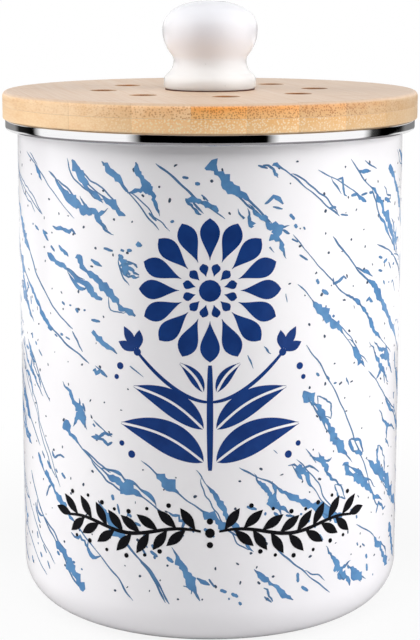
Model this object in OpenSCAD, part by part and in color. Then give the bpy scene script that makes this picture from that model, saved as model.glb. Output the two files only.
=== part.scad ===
// Round countertop compost canister: enamelled steel pot with a polished rim band
// and a lift-off bamboo lid that carries a ceramic knob, a seal and a charcoal filter.
// Millimetres, +Z up, front towards -Y. The origin is the middle of the base.

/* [Canister] */
// Outside diameter of the wall
body_d = 158.2; // [150:0.2:172]
// Height from the base to the top of the rim band
body_h = 202.7; // [160:0.1:240]
// Thickness of the enamelled steel
wall_t = 0.9; // [0.7:0.05:1.2]
// Outside radius of the corner between wall and base
corner_r = 17.5; // [10:0.5:22]
// Width of the flat ring that the canister stands on
foot_w = 7; // [4:0.5:10]
// How far the middle of the base is pressed up
base_rise = 1; // [0.6:0.1:2]

/* [Rim band] */
// How far the band stands out from the wall
band_overhang = 4.9; // [4.3:0.1:6]
// Height of the band
band_h = 4.6; // [4.2:0.1:7]
// Thickness of the band's sheet
band_t = 0.4; // [0.3:0.05:0.5]

/* [Lid board] */
// How far the board stands out from the rim band
board_overhang = 1; // [0.5:0.1:4]
// Thickness of each of the two bamboo layers
ply_t = 5.55; // [4.5:0.05:7]
// Radius of the board's upper edge
board_edge_r = 2; // [0.5:0.1:3]
// Radius of the board's lower edge
board_low_edge_r = 0.6; // [0.3:0.1:2]

/* [Vents] */
// Number of vents
vent_n = 8; // [4:4:8]
// Diameter of each vent
vent_d = 11; // [6:0.5:11]
// Diameter of the circle that the vents lie on
vent_circle_d = 87.5; // [78:0.5:89]
// Angle of the first vent from +X
vent_turn = 8.2; // [0:0.1:20]

/* [Plug and seal] */
// Thickness of the plug under the board
plug_t = 10; // [9:0.5:14]
// Width of the space between plug and canister wall
plug_gap = 4.7; // [3.5:0.1:6]
// Height of the seal's groove
groove_h = 3; // [2.6:0.1:4]
// Depth of the seal's groove
groove_depth = 2.5; // [2:0.1:4]
// Space left between the seal's lips and the canister wall
seal_gap = 0.3; // [0.2:0.05:0.6]

/* [Knob] */
// Largest diameter of the knob
knob_d = 38.9; // [37:0.1:44]
// Height of the knob above its gasket
knob_h = 35.6; // [33:0.1:40]
// Diameter of the knob's foot
knob_foot_d = 38; // [35:0.1:40]
// Diameter of the knob's neck
knob_neck_d = 29.9; // [26:0.1:31]
// Height of the neck above the gasket
knob_neck_h = 11.5; // [10.5:0.1:12.5]
// Height of the widest place above the gasket
knob_wide_h = 23.7; // [22:0.1:26]
// Thickness of the gasket under the knob
gasket_t = 0.4; // [0.3:0.1:1]

/* [Knob screw] */
// Diameter of the screw's thread
screw_d = 5; // [4:0.5:6]
// Length of the screw under its head
screw_l = 30; // [26:1:31]
// Diameter of the washer
washer_d = 15; // [12:0.5:16]
// Outside diameter of the brass insert in the knob
insert_d = 9; // [8:0.5:10]
// Length of the brass insert
insert_l = 13; // [10:0.5:14]

/* [Filter] */
// Outside diameter of the filter housing
housing_d = 119; // [117:0.5:124]
// Height of the filter housing
housing_h = 14.2; // [13:0.1:18]
// Thickness of the housing's wall
housing_wall = 2.5; // [1.6:0.1:2.5]
// Thickness of the housing's plate
plate_t = 1.6; // [1.2:0.1:2.4]
// Width of the ledges that carry the cover
ledge_w = 3; // [2:0.1:3]
// Thickness of the ledges
ledge_t = 1.6; // [1.2:0.1:1.8]
// Angle that each lug of the cover spans
lug_angle = 25; // [15:1:30]
// Thickness of the cover
cover_t = 2; // [1.5:0.1:2.5]
// Thickness of the charcoal filter
filter_t = 8; // [4:0.5:8]
// Diameter of the holes in the cover
grille_d = 5; // [3:0.5:5]
// Height of the finger bar under the cover
bar_h = 7; // [4:0.5:10]

/* [Hidden] */
$fn = 96;
eps = 0.01;

// Clearances
crimp_gap = 0.05; // band to the rolled rim inside it
fit_gap = 0.05; // seal in its groove, insert in the knob
hole_gap = 0.3; // round each screw's shank
turn_gap = 0.5; // cover to its housing, radially
lug_gap = 0.2; // lug over its ledge
stop_gap = 0.3; // degrees between a locked lug and its stop

// Canister and band
wall_r = body_d / 2;
inner_r = wall_r - wall_t;
foot_outer_r = wall_r - corner_r;
dish_r = foot_outer_r - foot_w;
band_r = wall_r + band_overhang;
curl_r = band_r - band_t - crimp_gap;
curl_top = body_h - band_t;
curl_low = body_h - band_h + band_t + crimp_gap;
curl_h = curl_top - curl_low;
rim_round = 1.2;
curl_mouth = 1.2;
band_top_round = 0.8;
band_low_round = 1.5;

// Board
board_z = body_h;
board_r = band_r + board_overhang;
glue_z = board_z + ply_t;
board_top = board_z + 2 * ply_t;
screw_hole_d = screw_d + 2 * hole_gap;

// Plug and seal
plug_r = inner_r - plug_gap;
plug_z = board_z - plug_t;
plug_round = 1.5;
groove_z = board_z - 3.5 - groove_h;
groove_r = plug_r - groove_depth;
lip_r = inner_r - seal_gap;
lip_t = 0.8;
lip_tip = 0.5;
lip_rise = 1;
seal_face = 0.4;

// Knob
knob_z = board_top + gasket_t;
wide_r = knob_d / 2;
foot_r = knob_foot_d / 2;
neck_r = knob_neck_d / 2;
foot_edge = 1.2;
shoulder_r = 3.5;
neck_low_r = 7;
neck_up_r = 3.5;
crown_power = 2.28;
insert_bore_d = screw_d + 2 * fit_gap;

// Knob screw, in a counterbore of the plug
head_d = 1.9 * screw_d;
head_h = 0.64 * screw_d;
washer_t = 1;
seat_z = plug_z + head_h + washer_t + 0.3;
counterbore_d = washer_d + 1;

// Filter housing and cover
housing_r = housing_d / 2;
housing_in_r = housing_r - housing_wall;
housing_z = plug_z - housing_h;
plate_z = plug_z - plate_t;
plate_hole_d = counterbore_d + 4;
ledge_n = 3;
ledge_in_r = housing_in_r - ledge_w;
ledge_lead = 2.5;
ledge_z = housing_z + 0.4;
stop_angle = 4;
cover_rim_r = ledge_in_r - turn_gap;
cover_rim_t = 2;
lug_z = ledge_z + ledge_t + lug_gap;
lug_t = 2;
lug_r = housing_in_r - turn_gap;
tray_r = cover_rim_r - cover_rim_t;
filter_r = tray_r - turn_gap;
filter_z = housing_z + cover_t;
grille_step = 9;
bar_l = 30;
bar_t = 5;

// Housing screws, between the plate's middle hole and the vents
small_d = 3;
small_l = 7;
small_head_d = 5.6;
small_head_h = 1.7;
small_n = 4;
small_circle_r = (plate_hole_d / 2 + vent_circle_d / 2 - vent_d / 2) / 2;
small_turn = vent_turn + 180 / vent_n;

// Points on an arc about [x, z], from angle a to angle b
function arc(x, z, r, a, b, n) =
    [for (i = [0:n]) let (t = a + (b - a) * i / n) [x + r * cos(t), z + r * sin(t)]];

// Removes the corner at [x, z] that points towards [sx, sz], down to a round of radius r
module corner_cut(x, z, r, sx, sz) {
    difference() {
        translate([sx > 0 ? x - r : x - eps, sz > 0 ? z - r : z - eps])
            square(r + eps);
        translate([x - sx * r, z - sz * r])
            circle(r);
    }
}

// Upright hole from z0 to z1
module hole(d, z0, z1) {
    translate([0, 0, z0])
        cylinder(d = d, h = z1 - z0);
}

// The ring of vents, each of diameter d
module vents(d, z0, z1) {
    for (k = [0:vent_n - 1])
        rotate(vent_turn + 360 / vent_n * k)
            translate([vent_circle_d / 2, 0, 0])
                hole(d, z0, z1);
}

// Places its children at the housing screws
module at_small_screws() {
    for (k = [0:small_n - 1])
        rotate(small_turn + 360 / small_n * k)
            translate([small_circle_r, 0, 0])
                children();
}

// Section of the pressed-up part of the base: shift moves its edge to keep the sheet's thickness
module dish_section(z, shift) {
    polygon([[0, z - eps], [dish_r + shift + eps, z - eps], [dish_r + shift - base_rise, z + base_rise],
        [0, z + base_rise]]);
}

// Section of the rolled rim, as wide as the sheet's outside
module curl_outside() {
    difference() {
        translate([inner_r, curl_low])
            square([curl_r - inner_r, curl_h]);
        corner_cut(curl_r, curl_top, curl_h / 2, 1, 1);
        corner_cut(curl_r, curl_low, curl_h / 2, 1, -1);
        corner_cut(inner_r, curl_top, rim_round, -1, 1);
    }
}

// The space inside the rolled rim, open downwards beside the wall
module curl_inside() {
    difference() {
        translate([wall_r, curl_low + wall_t])
            square([curl_r - wall_t - wall_r, curl_h - 2 * wall_t]);
        corner_cut(curl_r - wall_t, curl_top - wall_t, curl_h / 2 - wall_t, 1, 1);
        corner_cut(curl_r - wall_t, curl_low + wall_t, curl_h / 2 - wall_t, 1, -1);
    }
    translate([wall_r, curl_low - 1])
        square([curl_mouth, wall_t + 1 + eps]);
}

module canister_shell() {
    color("white")
        rotate_extrude()
            difference() {
                union() {
                    difference() {
                        square([wall_r, curl_low + wall_t]);
                        corner_cut(wall_r, 0, corner_r, 1, -1);
                    }
                    curl_outside();
                }
                difference() {
                    translate([0, wall_t])
                        square([inner_r, body_h]);
                    corner_cut(inner_r, wall_t, corner_r - wall_t, 1, -1);
                    dish_section(wall_t, wall_t * tan(22.5));
                }
                dish_section(0, 0);
                curl_inside();
            }
}

module rim_band() {
    band_low = body_h - band_h;
    color("silver")
        rotate_extrude()
            difference() {
                translate([inner_r + rim_round, band_low])
                    square([band_r - inner_r - rim_round, band_h]);
                corner_cut(band_r, body_h, band_top_round, 1, 1);
                corner_cut(band_r, band_low, band_low_round, 1, -1);
                difference() {
                    translate([0, band_low + band_t])
                        square([band_r - band_t, band_h - 2 * band_t]);
                    corner_cut(band_r - band_t, body_h - band_t, band_top_round - band_t, 1, 1);
                    corner_cut(band_r - band_t, band_low + band_t, band_low_round - band_t, 1, -1);
                }
                translate([0, band_low - 1])
                    square([wall_r + curl_mouth, band_t + 1 + eps]);
            }
}

module lid_top_ply() {
    color("burlywood")
        difference() {
            rotate_extrude()
                difference() {
                    translate([0, glue_z])
                        square([board_r, ply_t]);
                    corner_cut(board_r, board_top, board_edge_r, 1, 1);
                }
            vents(vent_d, glue_z - 1, board_top + 1);
            hole(screw_hole_d, glue_z - 1, board_top + 1);
        }
}

module lid_bottom_ply() {
    color("tan")
        difference() {
            rotate_extrude()
                difference() {
                    translate([0, board_z])
                        square([board_r, ply_t]);
                    corner_cut(board_r, board_z, board_low_edge_r, 1, -1);
                }
            vents(vent_d, board_z - 1, glue_z + 1);
            hole(screw_hole_d, board_z - 1, glue_z + 1);
        }
}

module lid_plug() {
    color("wheat")
        difference() {
            rotate_extrude()
                difference() {
                    translate([0, plug_z])
                        square([plug_r, plug_t]);
                    corner_cut(plug_r, plug_z, plug_round, 1, -1);
                    translate([groove_r, groove_z])
                        square([groove_depth + 1, groove_h]);
                }
            vents(vent_d, plug_z - 1, board_z + 1);
            hole(screw_hole_d, plug_z - 1, board_z + 1);
            hole(counterbore_d, plug_z - 1, seat_z);
            at_small_screws()
                hole(small_d + 2 * fit_gap, plug_z - 1, plug_z + small_l - plate_t + 0.5);
        }
}

// One lip of the seal, rising outwards from height z
module seal_lip(z) {
    root = plug_r + seal_face;
    polygon([[root - eps, z], [lip_r, z + lip_rise], [lip_r, z + lip_rise + lip_tip], [root - eps, z + lip_t]]);
}

module lid_seal() {
    seal_z = groove_z + fit_gap;
    seal_h = groove_h - 2 * fit_gap;
    color("whitesmoke")
        rotate_extrude() {
            translate([groove_r + fit_gap, seal_z])
                square([groove_depth - fit_gap + seal_face, seal_h]);
            seal_lip(seal_z);
            seal_lip(seal_z + seal_h - lip_t);
        }
}

// Outline of the knob: foot, shoulder, neck, then a bulb that ends in a rounded crown
module knob_section() {
    shoulder_x = foot_r - shoulder_r;
    reach = neck_r + neck_low_r - shoulder_x;
    shoulder_z = knob_neck_h - sqrt(pow(neck_low_r + shoulder_r, 2) - pow(reach, 2));
    shoulder_end = atan2(knob_neck_h - shoulder_z, reach);
    rise = knob_wide_h - knob_neck_h;
    swell = wide_r - neck_r;
    bulb_r = (pow(swell, 2) + pow(rise, 2)) / (2 * swell) - neck_up_r;
    neck_end = atan2(rise, bulb_r + neck_up_r - swell);
    crown_h = knob_h - knob_wide_h;
    polygon(concat(
        [[0, 0]],
        arc(foot_r - foot_edge, foot_edge, foot_edge, -90, 0, 4),
        arc(shoulder_x, shoulder_z, shoulder_r, 0, shoulder_end, 5),
        arc(neck_r + neck_low_r, knob_neck_h, neck_low_r, 180 + shoulder_end, 180, 6),
        arc(neck_r + neck_up_r, knob_neck_h, neck_up_r, 175, 180 - neck_end, 4),
        arc(wide_r - bulb_r, knob_wide_h, bulb_r, 5 - neck_end, 0, 7),
        [for (t = [6:6:84])
            [wide_r * pow(cos(t), 2 / crown_power), knob_wide_h + crown_h * pow(sin(t), 2 / crown_power)]],
        [[0, knob_h]]
    ));
}

module knob() {
    color("white")
        difference() {
            translate([0, 0, knob_z])
                rotate_extrude()
                    knob_section();
            hole(insert_d + 2 * fit_gap, knob_z - 1, knob_z + insert_l + 1);
        }
}

module knob_gasket() {
    color("saddlebrown")
        difference() {
            hole(knob_foot_d - 1.2, board_top, knob_z);
            hole(screw_hole_d, board_top - 1, knob_z + 1);
        }
}

// Sleeve with two grooves that the cement grips
module knob_insert() {
    color("gold")
        rotate_extrude()
            difference() {
                translate([insert_bore_d / 2, knob_z])
                    square([(insert_d - insert_bore_d) / 2, insert_l]);
                for (k = [1, 2])
                    translate([insert_d / 2 - 0.5, knob_z + insert_l * k / 3 - 0.75])
                        square([1, 1.5]);
            }
}

// Pan head at height z that points down, with a cross recess, and its shank up to height top
module pan_screw(d, head_d, head_h, z, top) {
    slot_w = 0.18 * head_d;
    slot_l = 0.6 * head_d;
    difference() {
        union() {
            hole(d, z - eps, top);
            rotate_extrude()
                difference() {
                    translate([0, z - head_h])
                        square([head_d / 2, head_h]);
                    corner_cut(head_d / 2, z - head_h, head_h * 0.6, 1, -1);
                }
        }
        for (turn = [0, 90])
            rotate(turn)
                translate([-slot_l / 2, -slot_w / 2, z - head_h - 1])
                    cube([slot_l, slot_w, 1 + head_h * 0.55]);
    }
}

module knob_screw() {
    color("gray")
        pan_screw(screw_d, head_d, head_h, seat_z - washer_t, seat_z - washer_t + screw_l);
}

module screw_washer() {
    color("silver")
        difference() {
            hole(washer_d, seat_z - washer_t, seat_z);
            hole(screw_d + hole_gap, seat_z - washer_t - 1, seat_z + 1);
        }
}

// Flat piece of a ring between two radii, two angles and two heights
module ring_piece(r0, r1, a0, a1, z0, z1) {
    far = 2 * r1;
    translate([0, 0, z0])
        linear_extrude(z1 - z0)
            intersection() {
                difference() {
                    circle(r1);
                    circle(r0);
                }
                polygon([[0, 0], [far * cos(a0), far * sin(a0)], [far * cos(a1), far * sin(a1)]]);
            }
}

// One ledge about angle 0, with the stop that a locked lug meets
module ledge() {
    outer_r = housing_in_r + housing_wall / 2;
    stop_from = lug_angle / 2 + stop_gap;
    stop_to = stop_from + stop_angle;
    ring_piece(ledge_in_r, outer_r, -lug_angle / 2 - ledge_lead, stop_to + 1, ledge_z, ledge_z + ledge_t);
    ring_piece(ledge_in_r + 0.5, outer_r, stop_from, stop_to, ledge_z + ledge_t / 2, lug_z + lug_t);
}

module filter_housing() {
    color("gainsboro")
        difference() {
            union() {
                difference() {
                    hole(housing_d, housing_z, plug_z);
                    hole(2 * housing_in_r, housing_z - 1, plate_z);
                }
                for (k = [0:ledge_n - 1])
                    rotate(360 / ledge_n * k)
                        ledge();
            }
            vents(vent_d + 1, plate_z - 1, plug_z + 1);
            hole(plate_hole_d, plate_z - 1, plug_z + 1);
            at_small_screws()
                hole(small_d + 2 * fit_gap, plate_z - 1, plug_z + 1);
        }
}

module housing_screws() {
    color("silver")
        at_small_screws()
            pan_screw(small_d, small_head_d, small_head_h, plate_z, plate_z + small_l);
}

module charcoal_filter() {
    color("dimgray")
        hole(2 * filter_r, filter_z, filter_z + filter_t);
}

// Bar with round ends for two fingers, under the middle of the cover
module finger_bar() {
    translate([0, 0, housing_z - bar_h]) {
        translate([-bar_l / 2, -bar_t / 2, 0])
            cube([bar_l, bar_t, bar_h + eps]);
        for (side = [-1, 1])
            translate([side * bar_l / 2, 0, 0])
                cylinder(d = bar_t, h = bar_h + eps);
    }
}

module filter_cover() {
    rim_h = lug_z + lug_t - housing_z;
    color("gainsboro") {
        difference() {
            hole(2 * cover_rim_r, housing_z, housing_z + rim_h);
            hole(2 * tray_r, housing_z + cover_t, housing_z + rim_h + 1);
            for (ring = [2:5], k = [0:6 * ring - 1])
                rotate(360 / (6 * ring) * k)
                    translate([grille_step * ring, 0, 0])
                        hole(grille_d, housing_z - 1, housing_z + cover_t + 1);
        }
        for (k = [0:ledge_n - 1])
            rotate(360 / ledge_n * k)
                ring_piece(cover_rim_r - 1, lug_r, -lug_angle / 2, lug_angle / 2, lug_z, lug_z + lug_t);
        finger_bar();
    }
}

canister_shell();
rim_band();
lid_top_ply();
lid_bottom_ply();
lid_plug();
lid_seal();
knob();
knob_gasket();
knob_insert();
knob_screw();
screw_washer();
filter_housing();
housing_screws();
charcoal_filter();
filter_cover();
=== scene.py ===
import math
import random

import bmesh
import bpy
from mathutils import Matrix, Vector, geometry, kdtree, noise


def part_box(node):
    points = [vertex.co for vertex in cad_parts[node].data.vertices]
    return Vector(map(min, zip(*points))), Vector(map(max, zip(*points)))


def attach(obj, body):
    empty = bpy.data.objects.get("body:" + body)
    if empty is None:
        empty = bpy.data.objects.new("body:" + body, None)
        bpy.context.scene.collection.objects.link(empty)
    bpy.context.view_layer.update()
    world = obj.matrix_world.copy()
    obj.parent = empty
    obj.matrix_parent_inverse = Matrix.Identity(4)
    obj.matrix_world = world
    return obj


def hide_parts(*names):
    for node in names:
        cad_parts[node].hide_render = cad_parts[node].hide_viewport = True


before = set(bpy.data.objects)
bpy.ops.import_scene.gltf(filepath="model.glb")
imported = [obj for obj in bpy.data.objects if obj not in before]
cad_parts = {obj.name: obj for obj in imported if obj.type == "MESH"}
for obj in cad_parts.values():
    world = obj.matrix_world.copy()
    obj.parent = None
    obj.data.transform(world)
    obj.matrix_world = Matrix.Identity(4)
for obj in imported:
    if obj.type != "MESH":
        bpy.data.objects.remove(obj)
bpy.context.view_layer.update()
mm = 0.001
print("frame loaded")


# node helpers

def tone(red, green, blue):
    # a colour as a paint chart gives it, 0 to 255, turned into the light values that sockets take
    levels = []
    for part in (red, green, blue):
        part /= 255
        levels.append(part / 12.92 if part <= 0.04045 else ((part + 0.055) / 1.055) ** 2.4)
    return (*levels, 1)


def fillSocket(tree, socket, value):
    if isinstance(value, Wire):
        tree.links.new(value.socket, socket)
    elif value is not None:
        socket.default_value = value


class Wire:
    # one socket of a tree, so that its maths can be written as a plain expression
    def __init__(self, tree, socket):
        self.tree = tree
        self.socket = socket

    def calc(self, operation, *others, first=None):
        node = self.tree.nodes.new("ShaderNodeMath")
        node.operation = operation
        operands = (self, *others) if first is None else (first, self)
        for socket, value in zip(node.inputs, operands):
            fillSocket(self.tree, socket, value)
        return Wire(self.tree, node.outputs[0])

    def __add__(self, other):
        return self.calc("ADD", other)

    def __radd__(self, other):
        return self.calc("ADD", first=other)

    def __sub__(self, other):
        return self.calc("SUBTRACT", other)

    def __rsub__(self, other):
        return self.calc("SUBTRACT", first=other)

    def __mul__(self, other):
        return self.calc("MULTIPLY", other)

    def __truediv__(self, other):
        return self.calc("DIVIDE", other)


class Bench:
    # a tree with the one method that adds any other node: its type, its settings, then its sockets
    def __init__(self, tree):
        self.tree = tree

    def node(self, kind, settings=None, sockets=None, out=0):
        made = self.tree.nodes.new(kind)
        for key, value in (settings or {}).items():
            if key == "stops":
                ramp = made.color_ramp.elements
                while len(ramp) < len(value):
                    ramp.new(0.5)
                for stop, (place, colour) in zip(ramp, value):
                    stop.position = place
                    stop.color = colour
            else:
                setattr(made, key, value)
        for key, value in (sockets or {}).items():
            fillSocket(self.tree, made.inputs[key], value)
        return Wire(self.tree, made.outputs[out])

    def mixed(self, factor, low, high, blend="MIX"):
        return self.node("ShaderNodeMix", {"data_type": "RGBA", "blend_type": blend},
                         {0: factor, 6: low, 7: high}, out=2)

    def between(self, value, low, high, start=0.0, end=1.0):
        # 0 to 1 (or start to end) as value goes from low to high, held outside
        return self.node("ShaderNodeMapRange", {"interpolation_type": "SMOOTHSTEP"},
                         {"Value": value, 1: low, 2: high, 3: start, 4: end})

    def cloud(self, vector, scale, detail=2.0, roughness=0.5):
        return self.node("ShaderNodeTexNoise", None,
                         {"Vector": vector, "Scale": scale, "Detail": detail, "Roughness": roughness})

    def vector(self, x, y, z):
        return self.node("ShaderNodeCombineXYZ", None, {0: x, 1: y, 2: z})

    def split(self, vector):
        return [self.node("ShaderNodeSeparateXYZ", None, {0: vector}, out=k) for k in range(3)]


class Finish(Bench):
    # a material: fixed shader numbers are set here, what varies is plugged in later
    def __init__(self, name, **fixed):
        self.material = bpy.data.materials.new(name)
        self.material.use_nodes = True
        super().__init__(self.material.node_tree)
        self.shader = self.tree.nodes["Principled BSDF"]
        for key, value in fixed.items():
            self.shader.inputs[socketNames[key]].default_value = value
        self.place = self.node("ShaderNodeTexCoord", out=3)

    def wear(self, **varying):
        for key, value in varying.items():
            fillSocket(self.tree, self.shader.inputs[socketNames[key]], value)
        return self.material

    def bump(self, height, distance, strength):
        return self.node("ShaderNodeBump", None,
                         {"Height": height, "Distance": distance, "Strength": strength})

    def dress(self, colour, grain, rough, distance, strength):
        # the colour as given; roughness and relief both follow the grain
        return self.wear(colour=colour, roughness=self.between(grain, 0.3, 0.7, *rough),
                         normal=self.bump(grain, distance, strength))


socketNames = {
    "colour": "Base Color", "roughness": "Roughness", "metallic": "Metallic", "normal": "Normal",
    "gloss": "Specular IOR Level", "coat": "Coat Weight", "coatRoughness": "Coat Roughness",
    "sheen": "Sheen Weight", "sheenRoughness": "Sheen Roughness",
    "glow": "Subsurface Weight", "glowDepth": "Subsurface Scale", "glowRadius": "Subsurface Radius",
}


def growTree(name, sizes):
    # an empty Geometry Nodes tree: shape in, sizes in, shape out
    tree = bpy.data.node_groups.new(name, "GeometryNodeTree")
    tree.interface.new_socket("Shape", in_out="INPUT", socket_type="NodeSocketGeometry")
    for label, kind in sizes.items():
        tree.interface.new_socket(label, in_out="INPUT", socket_type=f"NodeSocket{kind}")
    tree.interface.new_socket("Result", in_out="OUTPUT", socket_type="NodeSocketGeometry")
    bench = Bench(tree)
    entry = tree.nodes.new("NodeGroupInput")
    given = {label: Wire(tree, entry.outputs[label]) for label in ("Shape", *sizes)}
    return bench, given


def closeTree(bench, shape, paint):
    real = bench.node("GeometryNodeRealizeInstances", None, {"Geometry": shape})
    painted = bench.node("GeometryNodeSetMaterial", None, {"Geometry": real, "Material": paint})
    leave = bench.tree.nodes.new("NodeGroupOutput")
    bench.tree.links.new(painted.socket, leave.inputs[0])
    return bench.tree


def runTree(tree, source, name, sizes):
    # the tree's result as a plain mesh in a new object; the source is thrown away
    modifier = source.modifiers.new(tree.name, "NODES")
    modifier.node_group = tree
    for item in tree.interface.items_tree:
        if item.in_out == "INPUT" and item.name in sizes:
            modifier[item.identifier] = sizes[item.name]
    shapes = bpy.context.evaluated_depsgraph_get()
    mesh = bpy.data.meshes.new_from_object(source.evaluated_get(shapes), depsgraph=shapes)
    mesh.name = name
    source.modifiers.remove(modifier)
    bpy.data.objects.remove(source)
    return addObject(name, mesh)


# mesh helpers

def addObject(name, mesh):
    made = bpy.data.objects.new(name, mesh)
    bpy.context.scene.collection.objects.link(made)
    return made


def smooth(mesh, angle=35):
    mesh.shade_smooth()
    mesh.set_sharp_from_angle(angle=math.radians(angle))


def tidyNormals(mesh):
    work = bmesh.new()
    work.from_mesh(mesh)
    bmesh.ops.remove_doubles(work, verts=work.verts, dist=1e-7)
    bmesh.ops.recalc_face_normals(work, faces=work.faces)
    work.to_mesh(mesh)
    work.free()


def finishPiece(piece, paint, body, slotName, *nodes):
    piece.data.materials.clear()
    piece.data.materials.append(paint)
    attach(piece, body)
    if nodes:
        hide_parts(*nodes)


def arc(x, z, radius, start, end, steps):
    # points on an arc about (x, z), angles in degrees
    points = []
    for k in range(steps + 1):
        angle = math.radians(start + (end - start) * k / steps)
        points.append((x + radius * math.cos(angle), z + radius * math.sin(angle)))
    return points


def turned(name, outline, segments, ring):
    # turns an outline of (radius, height) round the middle; ring closes the outline on itself
    vertices, rows, faces = [], [], []
    for radius, height in outline:
        if radius < 1e-7:
            rows.append([len(vertices)] * segments)
            vertices.append((0, 0, height))
            continue
        rows.append(list(range(len(vertices), len(vertices) + segments)))
        for k in range(segments):
            angle = math.tau * k / segments
            vertices.append((radius * math.sin(angle), -radius * math.cos(angle), height))
    pairs = list(zip(rows, rows[1:])) + ([(rows[-1], rows[0])] if ring else [])
    for low, high in pairs:
        for k in range(segments):
            corners = [low[k], low[(k + 1) % segments], high[(k + 1) % segments], high[k]]
            faces.append(list(dict.fromkeys(corners)))
    mesh = bpy.data.meshes.new(name)
    mesh.from_pydata(vertices, [], faces)
    tidyNormals(mesh)
    smooth(mesh)
    return addObject(name, mesh)


def circle(x, y, radius, steps):
    return [(x + radius * math.sin(math.tau * k / steps), y - radius * math.cos(math.tau * k / steps))
            for k in range(steps)]


def drilledBoard(name, side, holes, segments):
    # a turned board: side is its outline from the lower face's edge to the upper face's edge,
    # and each hole has a middle, an outline of (radius, height) from below, and its own segments
    vertices, faces, sharp = [], [], []
    rims = {0: [], -1: []}

    def wall(x, y, outline, steps):
        rings = []
        for radius, height in outline:
            rings.append(list(range(len(vertices), len(vertices) + steps)))
            vertices.extend((*spot, height) for spot in circle(x, y, radius, steps))
        for low, high in zip(rings, rings[1:]):
            for k in range(steps):
                faces.append((low[k], low[(k + 1) % steps], high[(k + 1) % steps], high[k]))
        for end in (0, -1):
            rims[end].append(rings[end])
            sharp.extend((rings[end][k], rings[end][(k + 1) % steps]) for k in range(steps))

    wall(0, 0, side, segments)
    for x, y, outline, steps in holes:
        wall(x, y, outline, steps)
    for end in (0, -1):
        spots = [k for ring in rims[end] for k in ring]
        flat = [Vector(vertices[k][:2]) for k in spots]
        edges, first = [], 0
        for ring in rims[end]:
            edges += [(first + k, first + (k + 1) % len(ring)) for k in range(len(ring))]
            first += len(ring)
        for face in geometry.delaunay_2d_cdt(flat, edges, [], 0, 1e-9)[2]:
            middle = sum((flat[k] for k in face), Vector((0, 0))) / len(face)
            inBore = any(math.dist(middle, (x, y)) < outline[end][0] * 0.999 for x, y, outline, _ in holes)
            if not inBore:
                faces.append([spots[k] for k in face])
    mesh = bpy.data.meshes.new(name)
    mesh.from_pydata(vertices, [], faces)
    work = bmesh.new()
    work.from_mesh(mesh)
    bmesh.ops.recalc_face_normals(work, faces=work.faces)
    work.to_mesh(mesh)
    work.free()
    smooth(mesh)
    edgeIndex = {tuple(sorted(edge.vertices)): edge for edge in mesh.edges}
    for pair in sharp:
        edgeIndex[tuple(sorted(pair))].use_edge_sharp = True
    return addObject(name, mesh)


def smoothCopy(node, name):
    # the CAD piece's own shape with its triangles joined, so that it shades smoothly
    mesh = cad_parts[node].data.copy()
    mesh.name = name
    work = bmesh.new()
    work.from_mesh(mesh)
    bmesh.ops.remove_doubles(work, verts=work.verts, dist=1e-6)
    bmesh.ops.dissolve_limit(work, angle_limit=math.radians(1), verts=work.verts, edges=work.edges)
    work.to_mesh(mesh)
    work.free()
    smooth(mesh, 40)
    piece = addObject(name, mesh)
    flats = piece.modifiers.new("flats", "WEIGHTED_NORMAL")
    flats.keep_sharp = True
    return piece


# canister: enamelled steel, turned from its outline

canister = {
    "wallRadius": 79.1 * mm, "sheet": 0.9 * mm, "cornerRadius": 17.5 * mm,
    "footRing": 7 * mm, "baseRise": 1 * mm, "rimRound": 1.2 * mm, "curlMouth": 1.2 * mm,
    "segments": 384,
    "white": tone(243, 241, 243), "shadeOfWhite": tone(236, 234, 237),
    "roughness": 0.2,
}
band = {
    "sheet": 0.4 * mm, "crimpGap": 0.05 * mm, "topRound": 0.8 * mm, "lowRound": 1.5 * mm,
    "low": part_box("rim_band")[0].z, "top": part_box("rim_band")[1].z,
    "radius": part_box("rim_band")[1].x, "segments": 256,
    "steel": tone(240, 239, 239), "buffed": tone(228, 228, 230), "roughness": 0.07,
}


def canisterOutline():
    wall, sheet, corner = canister["wallRadius"], canister["sheet"], canister["cornerRadius"]
    inner, cornerX = wall - sheet, wall - corner
    dish, rise = cornerX - canister["footRing"], canister["baseRise"]
    curl = band["radius"] - band["sheet"] - band["crimpGap"]
    curlTop = band["top"] - band["sheet"]
    curlLow = band["low"] + band["sheet"] + band["crimpGap"]
    half, rimRound = (curlTop - curlLow) / 2, canister["rimRound"]
    mouth, lean = wall + canister["curlMouth"], sheet * math.tan(math.radians(22.5))
    return (
        [(0, rise), (dish - rise, rise), (dish, 0)]
        + arc(cornerX, corner, corner, -90, 0, 24)
        + [(wall, curlTop - sheet)]
        + arc(curl - half, curlTop - half, half - sheet, 90, -90, 8)
        + [(mouth, curlLow + sheet), (mouth, curlLow)]
        + arc(curl - half, curlLow + half, half, -90, 90, 14)
        + arc(inner + rimRound, curlTop - rimRound, rimRound, 90, 180, 6)
        + arc(cornerX, corner, corner - sheet, 0, -90, 20)
        + [(dish + lean, sheet), (dish + lean - rise, sheet + rise), (0, sheet + rise)]
    )


def enamelFinish():
    # fired enamel: glossy white with a faint orange peel and a slow change of tone
    enamel = Finish("whiteEnamel", roughness=canister["roughness"], gloss=0.5)
    drift = enamel.cloud(enamel.place, 9, 3)
    peel = enamel.cloud(enamel.place, 260, 2)
    specks = enamel.cloud(enamel.place, 900, 1)
    colour = enamel.mixed(enamel.between(drift, 0.35, 0.7), canister["white"], canister["shadeOfWhite"])
    rough = enamel.between(specks, 0.3, 0.8, canister["roughness"] - 0.04, canister["roughness"] + 0.05)
    return enamel.wear(colour=colour, roughness=rough, normal=enamel.bump(peel, 0.006 * mm, 0.5))


whiteEnamel = enamelFinish()
canisterSkin = turned("canisterSkin", canisterOutline(), canister["segments"], ring=False)
finishPiece(canisterSkin, whiteEnamel, "canister", "white_enamel", "canister_shell")
print("canister turned")


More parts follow.
